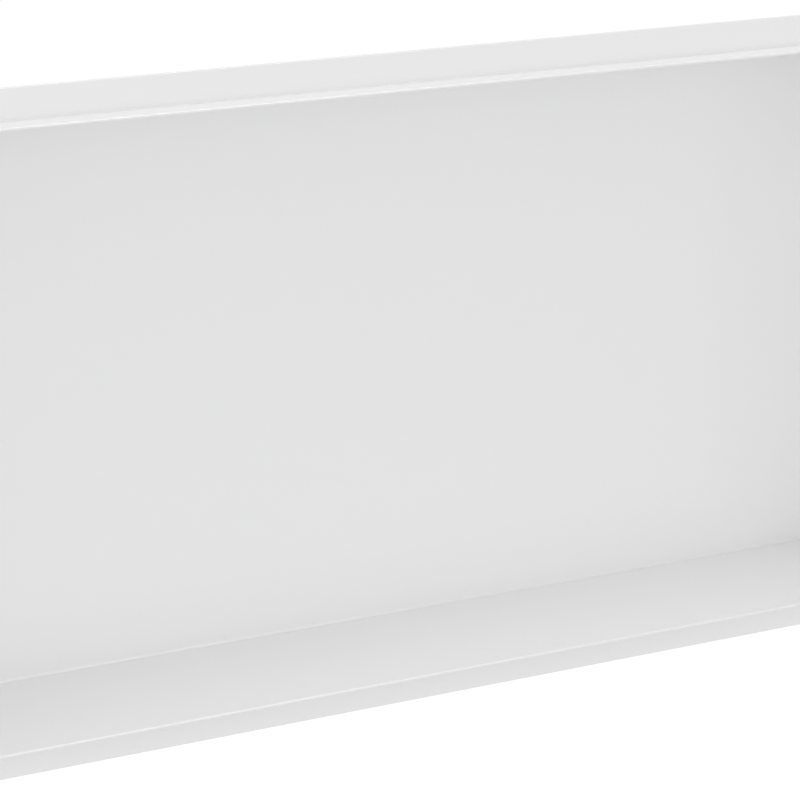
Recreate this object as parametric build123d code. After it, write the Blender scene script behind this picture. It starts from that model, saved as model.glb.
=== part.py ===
from build123d import *
import os

# Shower niche insert: a wide, shallow tray of coated sheet steel, open at the front, that is set into
# a wall. A flat flange stands round the tray and lies against the wall. The front of the tray carries
# on past the flange as a thin lip, so that the tiles in front of the flange end flush with the lip.
#
# Millimetres. +Z is up and the niche opens towards -Y. The origin is the middle of the opening, on the
# wall's surface, which is the back of the flange.

# Driving dimensions
opening_width = 600.0  # across the outside of the lip
opening_height = 300.0  # over the outside of the lip
niche_depth = 100.0  # from the lip's front edge to the back panel
sheet = 1.7  # steel of 1.5 with its coat on both faces
lip_reach = 14.5  # lip in front of the flange: a tile and its adhesive
flange_width = 16.0  # flange beyond the outside of the lip
bend_radius = 1.25  # inside of the folds and of the corners between the walls
flange_corner = 3.0  # outline of the flange at its four corners
edge_round = 0.6  # outer edges of the flange, rounded by the coat
edge_flat = 0.1  # flat left along the middle of the lip's edge, which the coat rounds almost fully
coat_hollow = 0.25  # hollow of the coat in front of the flange, all round the lip
weld_bead = 1.2  # hollow of the weld behind the flange, all round the tray

# Round on both sides of the lip's edge
lip_round = (sheet - edge_flat) / 2

# Depths along Y
flange_front = -sheet
lip_front = flange_front - lip_reach
panel_front = lip_front + niche_depth
panel_back = panel_front + sheet


def block(width, height, front, back):
    """A square-edged block, centred on the opening, that runs from one depth to another."""
    return Pos(0, (front + back) / 2, 0) * Box(width, back - front, height)


def flat_faces(shape):
    """The faces that look along the depth, from the front to the back."""
    return shape.faces().filter_by(Axis.Y).sort_by(Axis.Y)


def tray_block(wall, radius):
    """The outline of the tray, set in by a wall, with its back edges and its corners rounded."""
    shape = block(opening_width - 2 * wall, opening_height - 2 * wall, lip_front, panel_back - wall)
    corners = shape.edges().filter_by(Axis.Y)
    folds = flat_faces(shape)[-1].edges()
    return fillet(corners + folds, radius)


def flange_plate():
    """The flange with its outer edges eased, before the tray is let into it."""
    border = 2 * flange_width
    plate = block(opening_width + border, opening_height + border, flange_front, 0)
    plate = fillet(plate.edges().filter_by(Axis.Y), flange_corner)
    front, back = flat_faces(plate)
    return fillet(front.edges() + back.edges(), edge_round)


def niche():
    """The hollow tray with its lip's edge rounded and its flange welded on from behind."""
    shape = tray_block(0, bend_radius + sheet) + flange_plate() - tray_block(sheet, bend_radius)
    lip_edge = flat_faces(shape)[0]
    shape = fillet(lip_edge.edges(), lip_round)
    flange_face = flat_faces(shape)[1]
    shape = fillet(flange_face.inner_wires().edges(), coat_hollow)
    flange_back = flat_faces(shape)[2]
    return fillet(flange_back.inner_wires().edges(), weld_bead)


niche_insert = niche()
niche_insert.label = "niche_insert"

os.makedirs("parts", exist_ok=True)
export_step(niche_insert, "parts/niche_insert.step")
print("niche_insert", niche_insert.bounding_box(), "volume", round(niche_insert.volume))
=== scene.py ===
import bpy
import bmesh
import math
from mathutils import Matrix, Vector


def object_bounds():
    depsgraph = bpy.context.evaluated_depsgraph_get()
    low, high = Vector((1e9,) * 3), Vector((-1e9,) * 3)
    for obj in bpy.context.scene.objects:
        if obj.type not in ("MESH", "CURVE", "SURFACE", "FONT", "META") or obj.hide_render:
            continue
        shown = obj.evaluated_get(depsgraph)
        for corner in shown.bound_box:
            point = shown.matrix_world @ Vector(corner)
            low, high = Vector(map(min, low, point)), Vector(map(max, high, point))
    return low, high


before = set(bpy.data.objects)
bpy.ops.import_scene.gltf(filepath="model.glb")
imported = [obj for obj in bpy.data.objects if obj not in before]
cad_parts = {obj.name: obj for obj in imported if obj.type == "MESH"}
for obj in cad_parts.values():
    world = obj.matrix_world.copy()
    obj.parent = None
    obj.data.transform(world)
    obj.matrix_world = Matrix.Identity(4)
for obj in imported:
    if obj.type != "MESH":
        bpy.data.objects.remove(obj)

cadLow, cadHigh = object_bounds()  # the solids' box, before anything is added
mmPerMetre = 1000
print("frame loaded:", sorted(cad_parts))


def linear(hexColour):
    # sRGB hex to the linear colour that the sockets take
    parts = [int(hexColour[i:i + 2], 16) / 255 for i in (1, 3, 5)]
    return [c / 12.92 if c <= 0.04045 else ((c + 0.055) / 1.055) ** 2.4 for c in parts] + [1.0]


def addNode(tree, kind, inputs=None, **settings):
    # one node, with its settings and with its sockets set or linked
    node = tree.nodes.new(kind)
    for name, value in settings.items():
        setattr(node, name, value)
    for socket, value in (inputs or {}).items():
        if isinstance(value, bpy.types.NodeSocket):
            tree.links.new(value, node.inputs[socket])
        else:
            node.inputs[socket].default_value = value
    return node


# The insert itself: sheet steel under satin white polyester powder, stoved at 200 degrees

coat = {
    "colour": "#fdfdfd",
    "lipShadeColour": "#f7f7f7",  # painted shade: darker on the flange beside the lip, where the corner falls in shade
    "flangeMm": 16.0,  # width of the flange, across which the painted shade fades out from the lip
    "flangeFaceMm": -1.7,  # front of the flange, along Y
    "marginMm": 0.3,  # how far off the flat front still counts as it, for the hollow beside the lip
    "roughness": (0.18, 0.22),  # glossier and duller patches, where the coat is thicker and thinner
    "patchMm": 45.0,
    "patchRange": (0.3, 0.7),  # the noise values that become the glossiest and the dullest
    "ior": 1.5,
    "peelMm": 1.6,  # width of the ripples that the powder flows into
    "peelHeightMm": 0.0012,
}


def paintedLipShade(tree, point):
    # painted shade: 0 all over, but on the front of the flange it rises from the outer edge to 1 at
    # the lip, darkening the flange where it meets the lip
    flange, margin = coat["flangeMm"] / mmPerMetre, coat["marginMm"] / mmPerMetre
    axes = addNode(tree, "ShaderNodeSeparateXYZ", {"Vector": point})
    inward = []
    for axis, reach in (("X", cadHigh.x), ("Z", cadHigh.z)):
        away = addNode(tree, "ShaderNodeMath", {0: axes.outputs[axis]}, operation="ABSOLUTE")
        inward.append(addNode(tree, "ShaderNodeMath", {
            0: reach, 1: away.outputs[0]}, operation="SUBTRACT"))
    fromEdge = addNode(tree, "ShaderNodeMath", {
        0: inward[0].outputs[0], 1: inward[1].outputs[0]}, operation="MINIMUM")
    shadeRamp = addNode(tree, "ShaderNodeMapRange", {"Value": fromEdge.outputs[0], "From Max": flange})
    outside = addNode(tree, "ShaderNodeMath", {
        0: fromEdge.outputs[0], 1: flange / 2, 2: flange / 2 + margin}, operation="COMPARE")
    inFront = addNode(tree, "ShaderNodeMath", {
        0: axes.outputs["Y"], 1: coat["flangeFaceMm"] / mmPerMetre, 2: margin}, operation="COMPARE")
    onFlange = addNode(tree, "ShaderNodeMath", {
        0: outside.outputs[0], 1: inFront.outputs[0]}, operation="MULTIPLY")
    lipShade = addNode(tree, "ShaderNodeMath", {
        0: shadeRamp.outputs["Result"], 1: onFlange.outputs[0]}, operation="MULTIPLY")
    return lipShade.outputs[0]


def whitePowderCoat():
    # a satin skin, very slightly rippled like orange peel, which softens what it reflects, with
    # painted shade on the flange beside the lip
    material = bpy.data.materials.new("whitePowderCoat")
    material.use_nodes = True
    tree = material.node_tree
    tree.nodes.clear()
    point = addNode(tree, "ShaderNodeTexCoord").outputs["Object"]
    peel = addNode(tree, "ShaderNodeTexNoise", {
        "Vector": point, "Scale": mmPerMetre / coat["peelMm"], "Detail": 1.0, "Roughness": 0.4})
    ripple = addNode(tree, "ShaderNodeBump", {
        "Height": peel.outputs["Fac"], "Strength": 1.0, "Distance": coat["peelHeightMm"] / mmPerMetre})
    patch = addNode(tree, "ShaderNodeTexNoise", {
        "Vector": point, "Scale": mmPerMetre / coat["patchMm"], "Detail": 2.0})
    gloss = addNode(tree, "ShaderNodeMapRange", {
        "Value": patch.outputs["Fac"],
        "From Min": coat["patchRange"][0], "From Max": coat["patchRange"][1],
        "To Min": coat["roughness"][0], "To Max": coat["roughness"][1]})
    # the white, darkened by painted shade on the flange towards the lip
    white = addNode(tree, "ShaderNodeMix", {  # 6 and 7 are its two colours, and output 2 is their mix
        0: paintedLipShade(tree, point), 6: linear(coat["colour"]), 7: linear(coat["lipShadeColour"])},
        data_type="RGBA")
    skin = addNode(tree, "ShaderNodeBsdfPrincipled", {
        "Base Color": white.outputs[2], "Roughness": gloss.outputs["Result"], "IOR": coat["ior"],
        "Normal": ripple.outputs["Normal"]})
    addNode(tree, "ShaderNodeOutputMaterial", {"Surface": skin.outputs["BSDF"]})
    return material


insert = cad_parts["niche_insert"]
insert.data.materials.clear()
insert.data.materials.append(whitePowderCoat())
print("insert coated")


# Floor and surroundings: white, plain, with the insert's soft shadow on the floor

studio = {
    "floorColour": "#e7e7e7",
    "floorSize": 60.0,
    "floorDrop": 0.4,  # below the insert's lowest edge
    "floorLift": 0.42,  # added for the camera, so that the lit floor is white
    "skyColour": "#ffffff",  # of the floor's lift too
    "skyStrength": 0.731,  # what lights the insert
    "skyShown": 1.0,  # what the camera and reflections see
}


def seenDirectly(tree):
    # 1 for the rays that show the surroundings, 0 for those that light the insert
    rays = addNode(tree, "ShaderNodeLightPath")
    mirrored = addNode(tree, "ShaderNodeMath", {
        0: rays.outputs["Is Camera Ray"], 1: rays.outputs["Is Glossy Ray"]}, operation="MAXIMUM")
    through = addNode(tree, "ShaderNodeMath", {
        0: mirrored.outputs[0], 1: rays.outputs["Is Transmission Ray"]}, operation="MAXIMUM")
    return through.outputs[0]


def paleFloor():
    # matt painted board, which keeps the shadow and is otherwise seen as white
    material = bpy.data.materials.new("paleFloor")
    material.use_nodes = True
    tree = material.node_tree
    tree.nodes.clear()
    matt = addNode(tree, "ShaderNodeBsdfDiffuse", {"Color": linear(studio["floorColour"])})
    lift = addNode(tree, "ShaderNodeMath", {
        0: seenDirectly(tree), 1: studio["floorLift"]}, operation="MULTIPLY")
    glow = addNode(tree, "ShaderNodeEmission", {
        "Color": linear(studio["skyColour"]), "Strength": lift.outputs[0]})
    both = addNode(tree, "ShaderNodeAddShader", {0: matt.outputs[0], 1: glow.outputs[0]})
    addNode(tree, "ShaderNodeOutputMaterial", {"Surface": both.outputs[0]})
    return material


floorMesh = bmesh.new()
bmesh.ops.create_grid(floorMesh, x_segments=1, y_segments=1, size=studio["floorSize"] / 2)
bmesh.ops.translate(floorMesh, verts=floorMesh.verts, vec=(0, 0, cadLow.z - studio["floorDrop"]))
floorData = bpy.data.meshes.new("floor")
floorMesh.to_mesh(floorData)
floorMesh.free()
floorData.materials.append(paleFloor())
floor = bpy.data.objects.new("floor", floorData)
bpy.context.scene.collection.objects.link(floor)

sky = bpy.data.worlds.new("sky")
sky.use_nodes = True
skyTree = sky.node_tree
skyTree.nodes.clear()
skyStrength = addNode(skyTree, "ShaderNodeMapRange", {
    "Value": seenDirectly(skyTree), "To Min": studio["skyStrength"], "To Max": studio["skyShown"]})
skyLight = addNode(skyTree, "ShaderNodeBackground", {
    "Color": linear(studio["skyColour"]), "Strength": skyStrength.outputs["Result"]})
addNode(skyTree, "ShaderNodeOutputWorld", {"Surface": skyLight.outputs["Background"]})
bpy.context.scene.world = sky
print("floor and sky ready")


# Light: soft boxes, weak beside the sky, each turned towards the insert

softboxes = {
    "overhead": {"turn": 0, "rise": 90, "away": 4.0, "size": 2.0, "watts": 22.0, "glossOnly": False},
    "frontLeft": {"turn": -20, "rise": 5, "away": 4.0, "size": 2.0, "watts": 15.0, "glossOnly": False},
    "frontRight": {"turn": 27, "rise": 36, "away": 2.0, "size": 0.7, "watts": 11.0, "glossOnly": True},
}  # the gloss-only one draws the thin bright lines on the lip's edge and in the fold


def aimed(turn, rise, away):
    # a place round the insert: degrees to the right of its front, degrees up, metres away
    across, up = math.radians(turn), math.radians(rise)
    level = math.cos(up)
    return Vector((math.sin(across) * level, -math.cos(across) * level, math.sin(up))) * away


for name, box in softboxes.items():
    lamp = bpy.data.lights.new(name, "AREA")
    lamp.shape = "SQUARE"
    lamp.size = box["size"]
    lamp.energy = box["watts"]
    lampObject = bpy.data.objects.new(name, lamp)
    lampObject.location = aimed(box["turn"], box["rise"], box["away"])
    lampObject.rotation_euler = (-lampObject.location).to_track_quat("-Z", "Y").to_euler()
    lampObject.visible_camera = False
    lampObject.visible_diffuse = not box["glossOnly"]
    bpy.context.scene.collection.objects.link(lampObject)
print("softboxes ready:", len(softboxes))


# Camera: from the left and above, close enough to crop both ends of the insert

viewpoint = {
    "place": (-0.9676, -1.533, 0.4353),
    "turn": 31.473,  # degrees to the right of straight ahead
    "dip": 13.873,  # degrees below level
    "lens": 167.76,
    "sensor": 36.0,
}

eye = bpy.data.cameras.new("eye")
eye.sensor_width = viewpoint["sensor"]
eye.lens = viewpoint["lens"]
eyeObject = bpy.data.objects.new("eye", eye)
eyeObject.location = viewpoint["place"]
tilt = math.radians(90 - viewpoint["dip"])  # a camera at 0 looks straight down, and at 90 it is level
eyeObject.rotation_euler = (tilt, 0, math.radians(-viewpoint["turn"]))
bpy.context.scene.collection.objects.link(eyeObject)
bpy.context.scene.camera = eyeObject
bpy.context.scene.view_settings.view_transform = "Standard"
print("camera ready")
